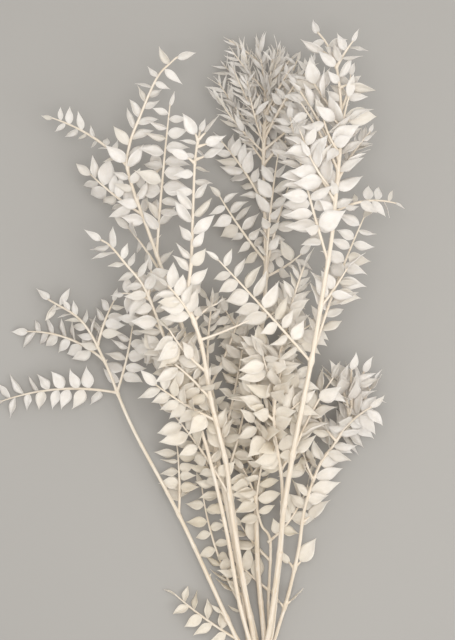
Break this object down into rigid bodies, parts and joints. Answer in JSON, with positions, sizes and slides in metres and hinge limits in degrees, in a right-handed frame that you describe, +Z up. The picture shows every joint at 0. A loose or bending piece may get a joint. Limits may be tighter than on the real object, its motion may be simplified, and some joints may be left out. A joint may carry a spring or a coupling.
{
  "type": "bunch of dried bleached ruscus",
  "caption": "Tied bunch of bleached, dried leafy ruscus stems, lying on a flat surface.",
  "frame": {"origin": "middle of the footprint of the bunch, on the surface that it lies on", "axes": "+Y along the stems from the tie towards the leafy tips, +Z up from the surface, +X to the right when seen from above with the tips away from the viewer"},
  "size_m": [0.4672, 0.7874, 0.1451],
  "materials": {
    "bleached_foliage": "matt, bleached and dried",
    "twine": "matt natural fibre"
  },
  "bodies": {
    "root": {"stem-far-left": "bleached_foliage", "stem-low-left": "bleached_foliage", "stem-front-left": "bleached_foliage", "stem-upper-left": "bleached_foliage", "stem-tall-left": "bleached_foliage", "stem-middle": "bleached_foliage", "stem-front-right": "bleached_foliage", "stem-inner-right": "bleached_foliage", "stem-low-right": "bleached_foliage", "stem-short-middle": "bleached_foliage", "tie": "twine"}
  },
  "joints": []
}
